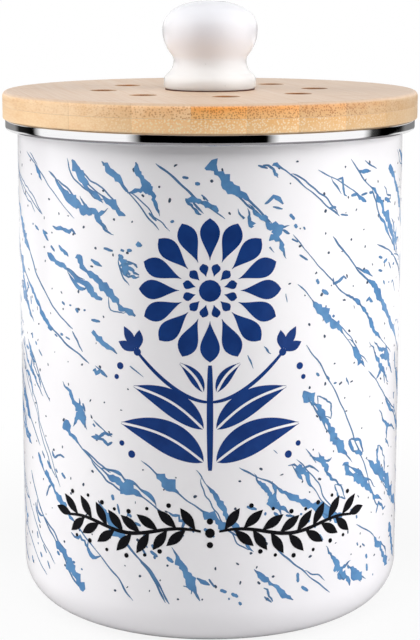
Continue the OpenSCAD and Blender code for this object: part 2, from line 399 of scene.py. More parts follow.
# rim band: polished steel, crimped over the rolled rim

def bandOutline():
    start = canister["wallRadius"] - canister["sheet"] + canister["rimRound"]
    mouth = canister["wallRadius"] + canister["curlMouth"]
    outer, sheet, top, low = band["radius"], band["sheet"], band["top"], band["low"]
    topRound, lowRound = band["topRound"], band["lowRound"]
    return (
        [(start, top - sheet), (start, top)]
        + arc(outer - topRound, top - topRound, topRound, 90, 0, 8)
        + arc(outer - lowRound, low + lowRound, lowRound, 0, -90, 12)
        + [(mouth, low), (mouth, low + sheet)]
        + arc(outer - lowRound, low + lowRound, lowRound - sheet, -90, 0, 10)
        + arc(outer - topRound, top - topRound, topRound - sheet, 0, 90, 6)
    )


def steelFinish():
    # polished sheet with the fine lines that the buffing wheel leaves round it
    steel = Finish("polishedSteel", metallic=1.0)
    x, y, z = steel.split(steel.place)
    around = x.calc("ARCTAN2", y)
    lines = steel.cloud(steel.vector(around * 2, z * 6000, 0), 1, 2)
    smears = steel.cloud(steel.place, 60, 3)
    rough = steel.between(smears, 0.35, 0.75, band["roughness"] - 0.03, band["roughness"] + 0.05)
    colour = steel.mixed(lines, band["steel"], band["buffed"])
    return steel.wear(colour=colour, roughness=rough, normal=steel.bump(lines, 0.002 * mm, 0.4))


polishedSteel = steelFinish()
rimBand = turned("rimBand", bandOutline(), band["segments"], ring=True)
finishPiece(rimBand, polishedSteel, "canister", "polished_steel", "rim_band")
print("rim band turned")


# prints on the wall: thin closed shapes, drawn flat and wrapped round it

wallPrint = {"sunk": 0.02 * mm, "column": 1.5 * mm, "leastWidth": 0.12 * mm}


class PrintSheet:
    # flat drawing: across the wall from its front, height, and lift off the wall
    def __init__(self):
        self.points, self.faces, self.fine = [], [], []

    def strip(self, spine, left, right, lift, fine=None):
        # a closed strip along a spine, with a width to each side of every spine point
        widest = max(a + b for a, b in zip(left, right))
        columns = max(1, math.ceil(widest / wallPrint["column"]))
        first = len(self.points)
        for row, (across, height) in enumerate(spine):
            before, after = spine[max(row - 1, 0)], spine[min(row + 1, len(spine) - 1)]
            way = Vector((after[0] - before[0], after[1] - before[1])).normalized()
            short = max(0.0, wallPrint["leastWidth"] - left[row] - right[row]) / 2
            for depth in (lift, -wallPrint["sunk"]):
                for column in range(columns + 1):
                    share = column / columns
                    offset = (right[row] + short) * share - (left[row] + short) * (1 - share)
                    self.points.append((across + way.y * offset, -depth, height - way.x * offset))
                    self.fine.append(fine[row] if fine else 0.0)
        ringSize = 2 * (columns + 1)
        order = list(range(columns + 1)) + [2 * columns + 1 - k for k in range(columns + 1)]
        for row in range(len(spine) - 1):
            low, high = first + row * ringSize, first + (row + 1) * ringSize
            for k in range(ringSize):
                a, b = order[k], order[(k + 1) % ringSize]
                self.faces.append((low + a, low + b, high + b, high + a))
        for row in (0, len(spine) - 1):
            base = first + row * ringSize
            for k in range(columns):
                self.faces.append((base + k, base + k + 1, base + columns + 2 + k, base + columns + 1 + k))

    def blade(self, root, tip, wide, lift, bend=0.0, sides=(1, 1), belly=0.45, blunt=1.0, gap=0.0):
        # a leaf or petal from root to tip; sides gives how much of the width lies left and right
        rows = max(6, math.ceil(math.dist(root, tip) / (1.3 * mm)))
        spine, left, right = [], [], []
        reach = Vector(tip) - Vector(root)
        across = Vector((-reach.y, reach.x)).normalized() * bend
        for row in range(rows + 1):
            share = row / rows
            spot = Vector(root) + reach * share + across * math.sin(math.pi * share)
            spine.append((spot.x, spot.y))
            rise = share ** (math.log(0.5) / math.log(belly))
            full = wide * math.sin(math.pi * rise) ** blunt
            left.append(full * sides[0] if sides[0] else -gap)
            right.append(full * sides[1] if sides[1] else -gap)
        self.strip(spine, left, right, lift)

    def dot(self, middle, radius, lift):
        spine, width = [], []
        for k in range(9):
            angle = math.pi * k / 8
            spine.append((middle[0], middle[1] - radius * math.cos(angle)))
            width.append(radius * math.sin(angle))
        self.strip(spine, width, width, lift)

    def line(self, spine, width, lift):
        # a brush line that narrows a little at both ends
        half = []
        for row in range(len(spine)):
            share = row / (len(spine) - 1)
            half.append(width / 2 * (0.55 + 0.45 * math.sin(math.pi * share) ** 0.5))
        self.strip(spine, half, half, lift)

    def flatObject(self, name):
        mesh = bpy.data.meshes.new(name)
        mesh.from_pydata(self.points, [], self.faces)
        fineness = mesh.attributes.new("fineness", "FLOAT", "POINT")
        fineness.data.foreach_set("value", self.fine)
        work = bmesh.new()
        work.from_mesh(mesh)
        bmesh.ops.recalc_face_normals(work, faces=work.faces)
        work.to_mesh(mesh)
        work.free()
        return addObject(name, mesh)


def wrapOnWall(bench, shape, wallRadius):
    # bends a flat drawing round the wall: across becomes the arc, depth the distance off it
    x, y, z = bench.split(bench.node("GeometryNodeInputPosition"))
    radius = wallRadius - y
    angle = x / wallRadius
    place = bench.vector(radius * angle.calc("SINE"), 0 - radius * angle.calc("COSINE"), z)
    return bench.node("GeometryNodeSetPosition", None, {"Geometry": shape, "Position": place})


def wrapTree():
    bench, given = growTree("wrapPrint", {"Wall radius": "Float", "Paint": "Material"})
    return closeTree(bench, wrapOnWall(bench, given["Shape"], given["Wall radius"]), given["Paint"])


wrapPrint = wrapTree()


def inkFinish(name, light, dark, roughness):
    # fired print: even colour, a little thicker and darker in places
    ink = Finish(name, gloss=0.16)
    pool = ink.cloud(ink.place, 130, 3)
    grain = ink.cloud(ink.place, 420, 1)
    colour = ink.mixed(ink.between(pool, 0.3, 0.75), light, dark)
    return ink.dress(colour, grain, (roughness - 0.02, roughness + 0.03), 0.002 * mm, 0.3)


# cobalt sprig: a round bloom on a straight stem, with split leaves, buds and berries
sprig = {
    "lift": 0.05 * mm, "bloomHeight": 143.5 * mm, "bloomGap": 1.2 * mm, "eye": 4.2 * mm,
    "petals": 16, "petalFrom": 11.6 * mm, "petalTo": 27.5 * mm, "petalWidth": 3.75 * mm,
    "innerPetals": 12, "innerFrom": 5.6 * mm, "innerTo": 10.6 * mm, "innerWidth": 1.75 * mm,
    "stemFoot": 73.5 * mm, "stemWidth": 2.5 * mm, "ribGap": 0.5 * mm, "leafRoot": 2.6 * mm,
    "leaves": (  # height on the stem, reach out, reach up, width of each half, bend, all in mm
        (77.0, 35.5, 13.5, 6.4, 3.4), (90.0, 30.0, 15.5, 5.0, 2.8), (104.5, 11.5, 11.0, 2.4, 1.2),
    ),
    "budStem": (100.5, 0.8, 27.5, 18.5),  # height on the stem, start, reach out, reach up, in mm
    "budStemWidth": 1.5 * mm, "budHeart": 1.5 * mm, "budPetalWidth": 1.9 * mm,
    "budPetals": ((-6, 8.6), (30, 11.0), (66, 8.6)),  # lean in degrees, length in mm
    "berries": ((31.0, 78.5, 1.5), (35.2, 82.5, 1.1), (35.6, 113.0, 1.4), (37.2, 108.6, 1.0)),
    "blue": tone(27, 61, 126), "deepBlue": tone(22, 52, 112), "roughness": 0.22,
}


def ringTree():
    # sets a petal round the bloom's middle and bends the ring round the wall
    bench, given = growTree("petalRing", {
        "Petals": "Int", "Turn": "Float", "Middle height": "Float",
        "Wall radius": "Float", "Paint": "Material"})
    index = bench.node("GeometryNodeInputIndex")
    angle = (index + given["Turn"]) * math.tau / given["Petals"]
    middle = bench.vector(0.0, 0.0, given["Middle height"])
    points = bench.node("GeometryNodePoints", None, {"Count": given["Petals"], "Position": middle})
    ring = bench.node("GeometryNodeInstanceOnPoints", None, {
        "Points": points, "Instance": given["Shape"], "Rotation": bench.vector(0.0, angle, 0.0)})
    solid = bench.node("GeometryNodeRealizeInstances", None, {"Geometry": ring})
    return closeTree(bench, wrapOnWall(bench, solid, given["Wall radius"]), given["Paint"])


def petalRing(name, start, end, width, count, turn, paint):
    petal = PrintSheet()
    petal.blade((0, start), (0, end), width, sprig["lift"], belly=0.66, blunt=0.8)
    return runTree(ringTree(), petal.flatObject(name), name, {
        "Petals": count, "Turn": turn, "Middle height": sprig["bloomHeight"],
        "Wall radius": canister["wallRadius"], "Paint": paint})


def drawLeafPairs(sheet, side):
    for height, out, up, wide, bend in sprig["leaves"]:
        root = (side * sprig["leafRoot"], height * mm)
        tip = (side * out * mm, (height + up) * mm)
        for half in ((1, 0), (0, 1)):
            sheet.blade(root, tip, wide * mm, sprig["lift"], bend * mm * side, half, 0.42, 0.85,
                        sprig["ribGap"])


def drawBud(sheet, side):
    height, start, out, up = sprig["budStem"]
    curve, rows = [], 26
    for k in range(rows + 1):
        share = k / rows
        curve.append((side * (start + out * share) * mm, (height + up * share ** 1.7) * mm))
    sheet.line(curve, sprig["budStemWidth"], sprig["lift"])
    bud = Vector(curve[-1])
    for lean, reach in sprig["budPetals"]:
        angle = math.radians(lean)
        way = Vector((side * math.sin(angle), math.cos(angle))) * reach * mm
        sheet.blade(bud + way * 0.06, bud + way, sprig["budPetalWidth"], sprig["lift"], belly=0.55)
    sheet.dot(bud, sprig["budHeart"], sprig["lift"])


def drawSprig():
    sheet = PrintSheet()
    lift, foot, rows = sprig["lift"], sprig["stemFoot"], 30
    top = sprig["bloomHeight"] - sprig["petalTo"] - sprig["bloomGap"]
    stem = [(0, foot + (top - foot) * k / rows) for k in range(rows + 1)]
    sheet.dot((0, sprig["bloomHeight"]), sprig["eye"], lift)
    sheet.line(stem, sprig["stemWidth"], lift)
    for side in (-1, 1):
        drawLeafPairs(sheet, side)
        drawBud(sheet, side)
        for out, height, size in sprig["berries"]:
            sheet.dot((side * out * mm, height * mm), size * mm, lift)
    return sheet.flatObject("sprigStems")


cobalt = inkFinish("cobaltPrint", sprig["blue"], sprig["deepBlue"], sprig["roughness"])
onWall = {"Wall radius": canister["wallRadius"]}
sprigPieces = [
    runTree(wrapPrint, drawSprig(), "sprigStems", {**onWall, "Paint": cobalt}),
    petalRing("bloomPetals", sprig["petalFrom"], sprig["petalTo"], sprig["petalWidth"],
              sprig["petals"], 0.0, cobalt),
    petalRing("bloomInner", sprig["innerFrom"], sprig["innerTo"], sprig["innerWidth"],
              sprig["innerPetals"], 0.5, cobalt),
]

# what the marbling keeps clear of
sprigSpots = [vertex.co for piece in sprigPieces for vertex in piece.data.vertices]
sprigMap = kdtree.KDTree(len(sprigSpots))
for spotIndex, spot in enumerate(sprigSpots):
    sprigMap.insert(spot, spotIndex)
sprigMap.balance()
for piece in sprigPieces:
    smooth(piece.data, 30)
    finishPiece(piece, cobalt, "canister", "white_enamel")
print("sprig printed")


# black laurel round the front: two sprays that grow outwards from the middle, with berries
laurel = {
    "lift": 0.09 * mm, "height": 48.4 * mm, "wave": 1.7 * mm, "waveLength": 44 * mm,
    "from": 5.5 * mm, "to": 60.5 * mm, "width": 1.5 * mm, "overrun": 2 * mm,
    "leafLength": 10.6 * mm, "leafWidth": 1.95 * mm, "leafLean": 46, "leaves": 15,
    "endLeaf": (9 * mm, 1.5 * mm), "endLeafWidth": 1.9 * mm, "berry": 0.95 * mm, "berryOut": 1.4 * mm,
    "dots": ((0.2 * mm, 1.9 * mm), (4.9 * mm, 1.25 * mm), (-4.6 * mm, 1.25 * mm)),  # height, radius
    "black": tone(10, 10, 14), "paleBlack": tone(17, 17, 22), "roughness": 0.24,
}
leafStep = (laurel["to"] - laurel["from"]) / laurel["leaves"]


def laurelTree():
    # leaves to both sides of a wavy twig in turn, then bent round the wall
    bench, given = growTree("laurelLeaves", {
        "Leaves": "Int", "Start": "Float", "Step": "Float", "Height": "Float", "Wave": "Float",
        "Wave length": "Float", "Lean": "Float", "Way": "Float", "Wall radius": "Float",
        "Paint": "Material"})
    index = bench.node("GeometryNodeInputIndex")
    across = given["Start"] + given["Step"] * index
    phase = across * math.tau / given["Wave length"]
    height = given["Height"] + given["Wave"] * phase.calc("SINE")
    slope = (given["Wave"] * math.tau / given["Wave length"] * phase.calc("COSINE")).calc("ARCTANGENT")
    side = 1 - index.calc("MODULO", 2.0) * 2
    turn = (math.pi / 2 - slope - side * given["Lean"]) * given["Way"]
    points = bench.node("GeometryNodePoints", None, {
        "Count": given["Leaves"], "Position": bench.vector(across * given["Way"], 0.0, height)})
    leaves = bench.node("GeometryNodeInstanceOnPoints", None, {
        "Points": points, "Instance": given["Shape"], "Rotation": bench.vector(0.0, turn, 0.0)})
    solid = bench.node("GeometryNodeRealizeInstances", None, {"Geometry": leaves})
    return closeTree(bench, wrapOnWall(bench, solid, given["Wall radius"]), given["Paint"])


def twigHeight(across):
    return laurel["height"] + laurel["wave"] * math.sin(math.tau * across / laurel["waveLength"])


def leafTip(k):
    across = laurel["from"] + leafStep * k
    slope = math.atan2(twigHeight(across + mm) - twigHeight(across - mm), 2 * mm)
    angle = slope + math.radians(laurel["leafLean"]) * (-1 if k % 2 else 1)
    way = Vector((math.cos(angle), math.sin(angle)))
    return Vector((across, twigHeight(across))) + way * laurel["leafLength"]


def drawTwigs():
    sheet = PrintSheet()
    lift, rows, overrun = laurel["lift"], 56, laurel["overrun"]
    span = laurel["to"] - laurel["from"] + 2 * overrun
    for side in (-1, 1):
        spine = []
        for k in range(rows + 1):
            across = laurel["from"] - overrun + span * k / rows
            spine.append((side * across, twigHeight(across)))
        sheet.line(spine, laurel["width"], lift)
        for k in range(laurel["leaves"] - 2):  # a berry between the tips of neighbours on one side
            between = (leafTip(k) + leafTip(k + 2)) / 2
            spot = (side * between.x, between.y + laurel["berryOut"] * (-1 if k % 2 else 1))
            sheet.dot(spot, laurel["berry"] * (1.0 if k % 4 < 2 else 0.75), lift)
        tip = (side * (laurel["to"] + 0.5 * mm), twigHeight(laurel["to"]))
        out, up = laurel["endLeaf"]
        sheet.blade(tip, (tip[0] + side * out, tip[1] + up), laurel["endLeafWidth"], lift, belly=0.5)
    for height, radius in laurel["dots"]:
        sheet.dot((0, laurel["height"] + height), radius, lift)
    return sheet.flatObject("laurelTwigs")


def drawLaurelLeaf():
    sheet = PrintSheet()
    sheet.blade((0, 0.3 * mm), (0, laurel["leafLength"]), laurel["leafWidth"],
                laurel["lift"] + 0.01 * mm, belly=0.52)
    return sheet.flatObject("laurelLeaf")


blackPrint = inkFinish("blackPrint", laurel["black"], laurel["paleBlack"], laurel["roughness"])
laurelPieces = [runTree(wrapPrint, drawTwigs(), "laurelTwigs", {**onWall, "Paint": blackPrint})]
for side, name in ((-1.0, "laurelLeavesLeft"), (1.0, "laurelLeavesRight")):
    laurelPieces.append(runTree(laurelTree(), drawLaurelLeaf(), name, {
        **onWall, "Paint": blackPrint, "Leaves": laurel["leaves"], "Start": laurel["from"],
        "Step": leafStep, "Height": laurel["height"], "Wave": laurel["wave"], "Way": side,
        "Wave length": laurel["waveLength"], "Lean": math.radians(laurel["leafLean"])}))
for piece in laurelPieces:
    smooth(piece.data, 30)
    finishPiece(piece, blackPrint, "canister", "white_enamel")
print("laurel printed")


# marbling: thin lines that swell into ragged flakes, split and join again, all round the wall
marbling = {
    "seed": 41, "low": 19 * mm, "high": 191.5 * mm, "step": 1.15 * mm,
    "lean": -42, "leanSpread": 12, "flow": 22, "flowLength": 55 * mm, "wander": 16, "ripple": 19,
    "track": 13.5 * mm, "trackStart": (-20 * mm, 12 * mm), "trackEnd": 8 * mm, "sway": 3.5 * mm,
    "length": (24 * mm, 105 * mm), "gap": (3 * mm, 18 * mm), "line": (0.24 * mm, 0.5 * mm),
    "clear": 2.3 * mm, "lift": 0.03 * mm, "layers": 6, "layerStep": 0.002 * mm, "wide": 0.7 * mm,
    "taper": 0.36, "slateBelow": 1.3 * mm,
    "dashRows": 110, "crumbs": 70, "blots": 50, "splashes": 32, "hollows": 26,
    "speckGap": 5.5 * mm, "speckRadius": 0.5 * mm,
    "blue": tone(92, 142, 188), "deepBlue": tone(78, 124, 172), "slate": tone(64, 78, 98),
    "roughness": 0.24,
}


def wallSpot(across, height):
    angle = across / canister["wallRadius"]
    return Vector((math.sin(angle), -math.cos(angle), 0)) * canister["wallRadius"] + Vector((0, 0, height))


def isClear(across, height, room):
    if not marbling["low"] <= height <= marbling["high"]:
        return False
    return sprigMap.find(wallSpot(across, height))[2] > marbling["clear"] + room


def ripple(along, key):
    return noise.noise(Vector((along, key, 3.7)))


def flowAt(across, height):
    # the way the streaks lean, which drifts slowly over the wall
    length = marbling["flowLength"]
    drift = noise.noise(Vector((across / length, height / length, 8.1)))
    return marbling["lean"] + marbling["flow"] * drift


def layStrip(sheet, draw, spine, left, right, tips=(0.2, 0.2)):
    # lays the clear stretches of a strip, wide ones a hair above the lines that they cross
    layer = draw.randrange(marbling["layers"])
    if max(left) > marbling["wide"]:
        layer += marbling["layers"]
    lift, taper = marbling["lift"] + layer * marbling["layerStep"], marbling["taper"]
    run = []
    for row in range(len(spine) + 1):
        if row < len(spine) and isClear(*spine[row], max(left[row], right[row])):
            run.append(row)
            continue
        if len(run) > 2:
            last = len(run) - 1
            ends = [min(1.0, tips[0] + taper * k, tips[1] + taper * (last - k)) for k in range(last + 1)]
            leftRun = [left[r] * e for r, e in zip(run, ends)]
            rightRun = [right[r] * e for r, e in zip(run, ends)]
            shares = [(a + b) / marbling["slateBelow"] for a, b in zip(leftRun, rightRun)]
            fine = [max(0.0, min(0.4, 1.1 - share)) for share in shares]
            sheet.strip([spine[r] for r in run], leftRun, rightRun, lift, fine)
        run = []


def veinSpine(start, length, spread, key):
    step = marbling["step"]
    spine = [start]
    for row in range(int(length / step)):
        along = row * step / mm
        across, height = spine[-1]
        turn = flowAt(across, height) + spread + marbling["wander"] * ripple(along / 19, key)
        turn += marbling["ripple"] * ripple(along / 4.5, key + 20)
        angle = math.radians(turn)
        spine.append((across + step * math.cos(angle), height + step * math.sin(angle)))
    return spine


vein = {
    "flakes": (0, 1, 1, 2, 2, 2), "flakeAt": (0.1, 0.9), "flakeReach": (5 * mm, 18 * mm),
    "flakeHalf": (1.1 * mm, 2.8 * mm), "headed": 0.3, "headAt": (1 * mm, 3 * mm),
    "headReach": (6 * mm, 15 * mm), "headHalf": (1.1 * mm, 2.2 * mm), "branches": (0, 1, 1, 2, 3),
    "ragged": ((1.1, 3.8 * mm, 40), (0.8, 1.4 * mm, 60)),  # size, length, place in the noise
}


def drawVein(sheet, draw, start, length):
    key = draw.uniform(0, 90)
    spine = veinSpine(start, length, draw.uniform(-1, 1) * marbling["leanSpread"], key)
    base = draw.uniform(*marbling["line"])
    flakes = []
    for _ in range(draw.choice(vein["flakes"])):
        flakes.append((draw.uniform(*vein["flakeAt"]) * length, draw.uniform(*vein["flakeReach"]),
                       draw.uniform(*vein["flakeHalf"])))
    headed = draw.random() < vein["headed"]
    if headed:  # a blunt flake at the upper end that runs out into a line
        flakes.append([draw.uniform(*vein[part]) for part in ("headAt", "headReach", "headHalf")])
    widths = []
    for side in (0, 1):
        half = []
        for row in range(len(spine)):
            along = row * marbling["step"]
            swell = 0.0
            for middle, reach, size in flakes:
                swell = max(swell, size * max(0.0, 1 - ((along - middle) / reach) ** 2) ** 0.7)
            ragged = 0.66
            for size, reach, shift in vein["ragged"]:
                ragged += size * ripple(along / reach, key + shift + side * 9)
            line = base * (0.85 + 0.5 * ripple(along / mm / 6, key + 80))
            half.append(line + swell * max(0.0, ragged))
        widths.append(half)
    layStrip(sheet, draw, spine, *widths, (0.7 if headed else 0.25, 0.3))
    for _ in range(draw.choice(vein["branches"])):
        drawBranch(sheet, draw, spine, base, key)


branch = {"rows": (7, 32), "bow": (1.3 * mm, 3.8 * mm), "rejoins": 0.6, "swollen": (0.5 * mm, 1.5 * mm)}


def drawBranch(sheet, draw, spine, base, key):
    # a side line that runs beside the vein for a while, and joins it again or runs out
    span = draw.randint(*branch["rows"])
    if span + 2 >= len(spine):
        return
    first = draw.randint(0, len(spine) - span - 1)
    side = draw.choice((-1, 1))
    bow = draw.uniform(*branch["bow"])
    rejoins = draw.random() < branch["rejoins"]
    swollen = draw.choice((0, 0, 1)) * draw.uniform(*branch["swollen"])
    path, half = [], []
    for k in range(span + 1):
        share = k / span
        before, after = spine[max(first + k - 1, 0)], spine[min(first + k + 1, len(spine) - 1)]
        way = Vector((after[0] - before[0], after[1] - before[1])).normalized()
        off = math.sin(math.pi * share) ** 0.5 if rejoins else share ** 0.6
        off = side * bow * off * (1 + 0.5 * ripple(k / 4, key + first))
        across, height = spine[first + k]
        path.append((across - way.y * off, height + way.x * off))
        body = swollen * max(0.0, ripple(k / 4, key + 5 + first) + 0.3)
        half.append(base * 0.9 + body)
    layStrip(sheet, draw, path, half, half)


dashes = {
    "count": (2, 6), "turn": (-25, 35), "jitter": 32, "length": (0.9 * mm, 4.4 * mm),
    "half": (0.38 * mm, 0.8 * mm), "aside": 1.6 * mm, "uneven": (0.75, 1.15), "gap": (1.2 * mm, 3.8 * mm),
}


def drawDashes(sheet, draw, start):
    # a loose row of short dashes and dots
    across, height = start
    heading = flowAt(across, height) + draw.uniform(*dashes["turn"])
    for _ in range(draw.randint(*dashes["count"])):
        angle = math.radians(heading + draw.uniform(-dashes["jitter"], dashes["jitter"]))
        length, size = draw.uniform(*dashes["length"]), draw.uniform(*dashes["half"])
        side = draw.uniform(-dashes["aside"], dashes["aside"])
        spine = []
        for k in range(6):
            out = length * k / 5
            spine.append((across + out * math.cos(angle) - side * math.sin(angle),
                          height + out * math.sin(angle) + side * math.cos(angle)))
        half = [size * draw.uniform(*dashes["uneven"]) for _ in spine]
        layStrip(sheet, draw, spine, half, half[::-1], (0.55, 0.5))
        pace = length + draw.uniform(*dashes["gap"])
        across += pace * math.cos(math.radians(heading))
        height += pace * math.sin(math.radians(heading))


crumb = {
    "bends": (3, 7), "turn": (-30, 50), "jitter": 62, "first": 0.4 * mm, "half": (0.3 * mm, 0.75 * mm),
    "pace": (0.7 * mm, 1.5 * mm), "uneven": (0.7, 1.3),
}


def drawCrumb(sheet, draw, start):
    # a crooked little streak that turns sharply
    heading = flowAt(*start) + draw.uniform(*crumb["turn"])
    spine, half = [start], [crumb["first"]]
    size = draw.uniform(*crumb["half"])
    for _ in range(draw.randint(*crumb["bends"])):
        angle = math.radians(heading + draw.uniform(-crumb["jitter"], crumb["jitter"]))
        pace = draw.uniform(*crumb["pace"])
        for _ in range(2):
            across, height = spine[-1]
            spine.append((across + pace * math.cos(angle), height + pace * math.sin(angle)))
            half.append(size * draw.uniform(*crumb["uneven"]))
    layStrip(sheet, draw, spine, half, half, (0.4, 0.4))


blot = {"length": (4 * mm, 12 * mm), "turn": (-22, 28), "half": (0.45 * mm, 1.25 * mm)}


def drawBlot(sheet, draw, start):
    # a short fat flake with uneven sides
    key = draw.uniform(0, 90)
    spine = veinSpine(start, draw.uniform(*blot["length"]), draw.uniform(*blot["turn"]), key)
    size = draw.uniform(*blot["half"])
    sides = ([], [])
    for side in (0, 1):
        for k in range(len(spine)):
            sides[side].append(size * max(0.25, 0.8 + 0.9 * ripple(k / 1.8, key + side * 7)))
    layStrip(sheet, draw, spine, *sides, (0.35, 0.2))


splash = {
    "half": (1.1 * mm, 2.4 * mm), "reach": (6 * mm, 17 * mm), "strayArms": (1, 3), "strayReach": 0.55,
    "row": 0.9 * mm, "jitter": 14, "crook": 60, "leastHalf": 0.22 * mm,
}


def drawSplash(sheet, draw, start):
    # crooked arms that leave one middle, the first two along the flow
    heading = flowAt(*start)
    ways = [heading, heading + 180]
    ways += [draw.uniform(0, 360) for _ in range(draw.randint(*splash["strayArms"]))]
    body = draw.uniform(*splash["half"])
    for order, way in enumerate(ways):
        reach = draw.uniform(*splash["reach"]) * (1.0 if order < 2 else splash["strayReach"])
        rows = max(4, int(reach / splash["row"]))
        key = draw.uniform(0, 90)
        turn = way + draw.uniform(-splash["jitter"], splash["jitter"])
        spine, sides = [start], ([body * 0.8], [body * 0.8])
        for k in range(1, rows + 1):
            angle = math.radians(turn + splash["crook"] * ripple(k / 2.4, key))
            across, height = spine[-1]
            spine.append((across + reach / rows * math.cos(angle), height + reach / rows * math.sin(angle)))
            for side in (0, 1):
                ragged = max(0.1, 0.7 + 1.2 * ripple(k / 1.6, key + 11 + side * 9))
                sides[side].append(splash["leastHalf"] + body * (1 - k / rows) ** 1.2 * ragged)
        layStrip(sheet, draw, spine, *sides, (1.0, 0.3))


hollow = {"turn": 28, "rows": (8, 17), "bow": (1.2 * mm, 3.4 * mm), "half": (0.3 * mm, 1.0 * mm)}


def drawHollow(sheet, draw, start):
    # a flake with a hole: two ragged arms that leave one point and meet again
    heading = math.radians(flowAt(*start) + draw.uniform(-hollow["turn"], hollow["turn"]))
    rows = draw.randint(*hollow["rows"])
    for side in (-1, 1):
        bow, size = side * draw.uniform(*hollow["bow"]), draw.uniform(*hollow["half"])
        key = draw.uniform(0, 90)
        spine, half = [], []
        for k in range(rows + 1):
            off = bow * max(0.0, math.sin(math.pi * k / rows)) ** 0.8 + 0.8 * mm * ripple(k / 2, key)
            spine.append((start[0] + k * mm * math.cos(heading) - off * math.sin(heading),
                          start[1] + k * mm * math.sin(heading) + off * math.cos(heading)))
            half.append(size * max(0.35, 0.9 + 1.1 * ripple(k / 1.7, key + 5)))
        layStrip(sheet, draw, spine, half, half[::-1], (0.5, 0.5))


def drawMarbling():
    draw = random.Random(marbling["seed"])
    sheet = PrintSheet()
    lean = math.radians(marbling["lean"])
    around = math.tau * canister["wallRadius"]
    tracks = round(around * -math.sin(lean) / marbling["track"])
    full = (marbling["high"] - marbling["low"]) / -math.sin(lean)
    for track in range(tracks):
        foot = around * track / tracks
        along = draw.uniform(*marbling["trackStart"])
        while along < full - marbling["trackEnd"]:
            length = draw.uniform(*marbling["length"])
            sway = draw.uniform(-marbling["sway"], marbling["sway"])
            start = (foot + along * math.cos(lean) + sway, marbling["high"] + along * math.sin(lean))
            drawVein(sheet, draw, start, length)
            along += length + draw.uniform(*marbling["gap"])
    strokes = {"dashRows": drawDashes, "crumbs": drawCrumb, "blots": drawBlot, "splashes": drawSplash,
               "hollows": drawHollow}
    for kind, stroke in strokes.items():
        for _ in range(marbling[kind]):
            start = (draw.uniform(0, around), draw.uniform(marbling["low"], marbling["high"]))
            stroke(sheet, draw, start)
    return sheet.flatObject("marbling")


def marbleFinish():
    # wide flakes are clear blue, thin lines and specks slate
    ink = Finish("marbledBlue", gloss=0.3)
    fineness = ink.node("ShaderNodeAttribute", {"attribute_name": "fineness"}, out=2)
    pool = ink.cloud(ink.place, 170, 3)
    flake = ink.mixed(ink.between(pool, 0.3, 0.75), marbling["blue"], marbling["deepBlue"])
    colour = ink.mixed(fineness, flake, marbling["slate"])
    grain = ink.cloud(ink.place, 420, 1)
    rough = (marbling["roughness"] - 0.02, marbling["roughness"] + 0.03)
    return ink.dress(colour, grain, rough, 0.002 * mm, 0.3)


def speckTree():
    # little irregular flat drops scattered over a patch of wall
    bench, given = growTree("marbleSpecks", {
        "Gap": "Float", "Radius": "Float", "Thickness": "Float", "Seed": "Int", "Paint": "Material"})
    openness = bench.node("GeometryNodeInputNamedAttribute", {"data_type": "FLOAT"}, {"Name": "open"})
    scatter = {"Mesh": given["Shape"], "Distance Min": given["Gap"], "Density Max": 16000.0,
               "Density Factor": openness, "Seed": given["Seed"]}
    points = bench.node("GeometryNodeDistributePointsOnFaces", {"distribute_method": "POISSON"}, scatter)
    facing = Wire(bench.tree, points.socket.node.outputs["Rotation"])
    drop = bench.node("GeometryNodeMeshCylinder", None, {
        "Vertices": 9, "Radius": given["Radius"], "Depth": given["Thickness"]})
    size = bench.node("FunctionNodeRandomValue", {"data_type": "FLOAT_VECTOR"}, {
        0: (0.45, 0.55, 1.0), 1: (1.9, 1.25, 1.0), "Seed": 3})
    drops = bench.node("GeometryNodeInstanceOnPoints", None, {
        "Points": points, "Instance": drop, "Rotation": facing, "Scale": size})
    spin = bench.node("FunctionNodeRandomValue", {"data_type": "FLOAT"},
                      {2: 0.0, 3: math.tau, "Seed": 5}, out=1)
    spun = bench.node("GeometryNodeRotateInstances", None, {
        "Instances": drops, "Rotation": bench.vector(0.0, 0.0, spin), "Local Space": True})
    solid = bench.node("GeometryNodeRealizeInstances", None, {"Geometry": spun})
    wobble = bench.node("ShaderNodeTexNoise", {"noise_dimensions": "3D"},
                        {"Vector": bench.node("GeometryNodeInputPosition"), "Scale": 1100.0}, out=1)
    shift = bench.node("ShaderNodeVectorMath", {"operation": "MULTIPLY_ADD"}, {
        0: wobble, 1: (0.9 * mm, 0.9 * mm, 0.9 * mm), 2: (-0.45 * mm, -0.45 * mm, -0.45 * mm)})
    x, y, _ = bench.split(bench.node("GeometryNodeInputPosition"))
    out = bench.node("ShaderNodeVectorMath", {"operation": "NORMALIZE"}, {0: bench.vector(x, y, 0.0)})
    onto = bench.node("ShaderNodeVectorMath", {"operation": "PROJECT"}, {0: shift, 1: out})
    along = bench.node("ShaderNodeVectorMath", {"operation": "SUBTRACT"}, {0: shift, 1: onto})
    ragged = bench.node("GeometryNodeSetPosition", None, {"Geometry": solid, "Offset": along})
    marked = bench.node("GeometryNodeStoreNamedAttribute", {"data_type": "FLOAT", "domain": "POINT"}, {
        "Geometry": ragged, "Name": "fineness", "Value": 1.0})
    return closeTree(bench, marked, given["Paint"])


